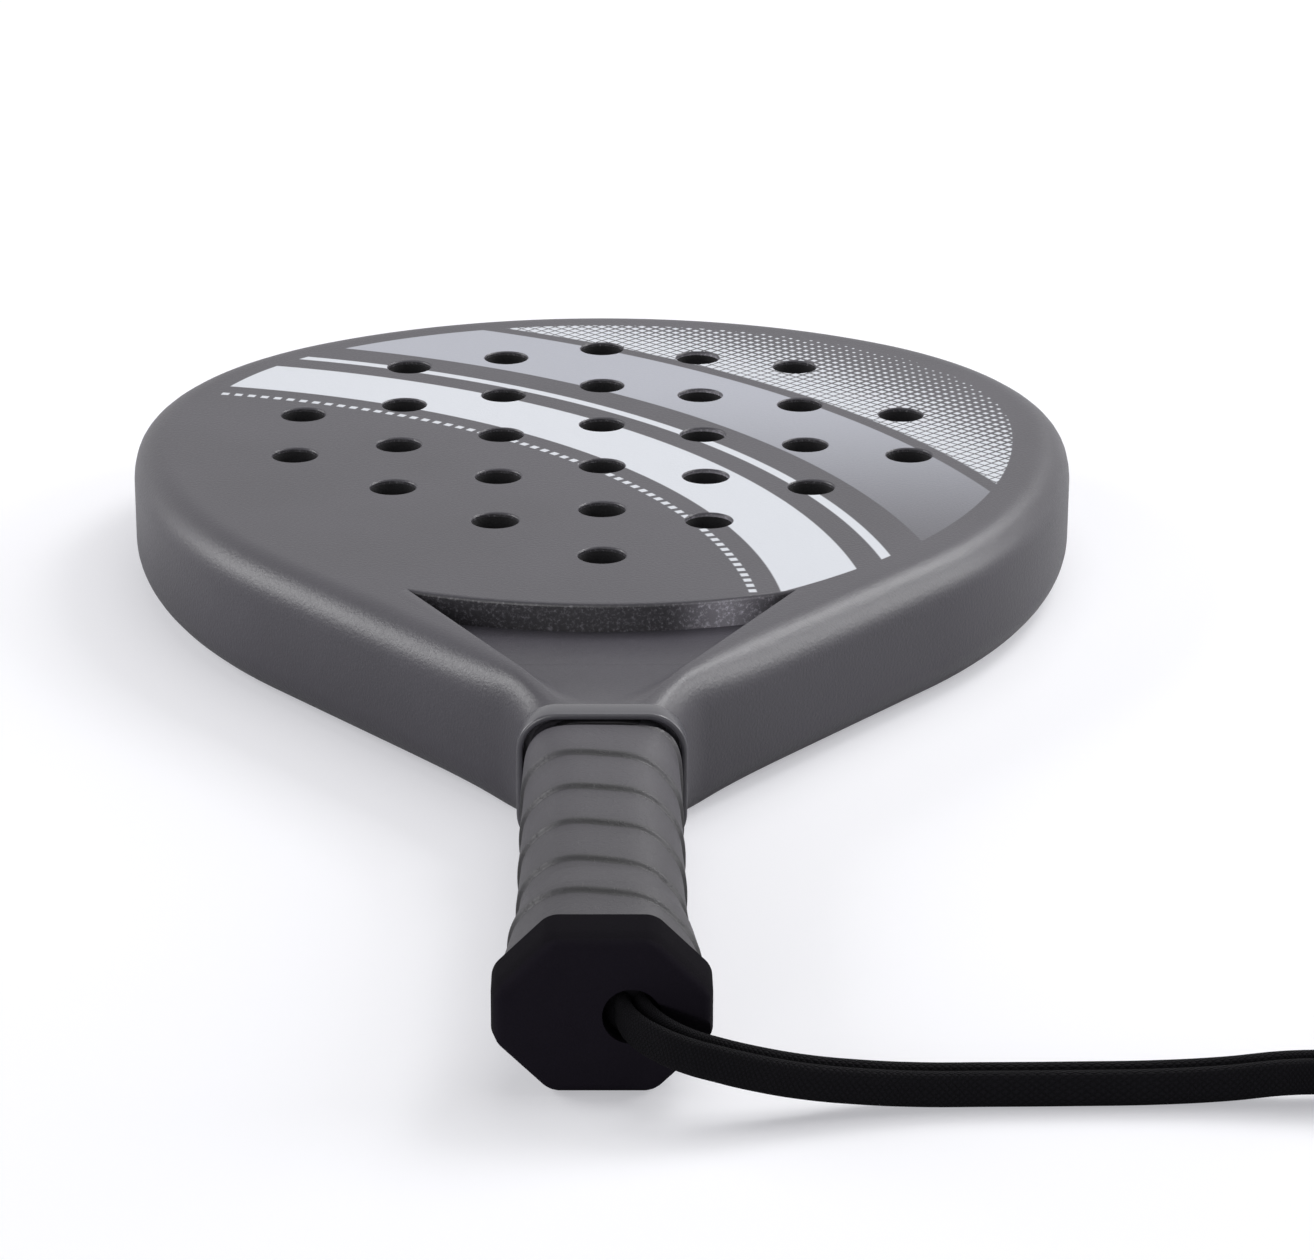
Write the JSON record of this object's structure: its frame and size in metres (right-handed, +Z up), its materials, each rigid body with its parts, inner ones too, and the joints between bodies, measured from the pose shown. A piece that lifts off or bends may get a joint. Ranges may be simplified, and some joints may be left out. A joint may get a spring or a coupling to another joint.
{
  "type": "padel racket",
  "caption": "Padel racket lying flat: perforated foam-cored face in a hollow hoop, recessed throat, wrapped eight-sided grip, butt cap and a looped wrist cord with a slider.",
  "frame": {"origin": "under the middle of the racket's length, on the surface it lies on", "axes": "+Y from the butt to the tip of the head, +Z up out of the hitting face, +X to the right of the handle"},
  "size_m": [0.4022, 0.4811, 0.036],
  "materials": {
    "frame": "satin grey lacquer over fibre laminate",
    "face": "matt grey lacquer with pale printed bands",
    "bridge": "satin grey lacquer",
    "foam": "closed-cell EVA foam",
    "cap": "matt black",
    "grip": "smooth synthetic leather wrap",
    "tape": "matt black",
    "collar": "satin",
    "cord": "flat woven cord",
    "slider": "matt black"
  },
  "bodies": {
    "racket": {"frame_tube": "frame", "eva_core": "foam", "face_skin_top": "face", "face_skin_bottom": "face", "bridge_core": "foam", "bridge_skin_top": "bridge", "bridge_skin_bottom": "bridge", "handle_foam": "foam", "butt_cap": "cap", "base_grip": "grip", "finishing_tape": "tape", "collar_ring": "collar", "wrist_cord": "cord", "cord_knot": "cord"},
    "slider": {"cord_slider": "slider"}
  },
  "joints": [
    {"name": "slider_slide", "type": "slide", "parent": "racket", "child": "slider", "axis": [1, 0, 0], "range_m": [0, 0.02]}
  ]
}
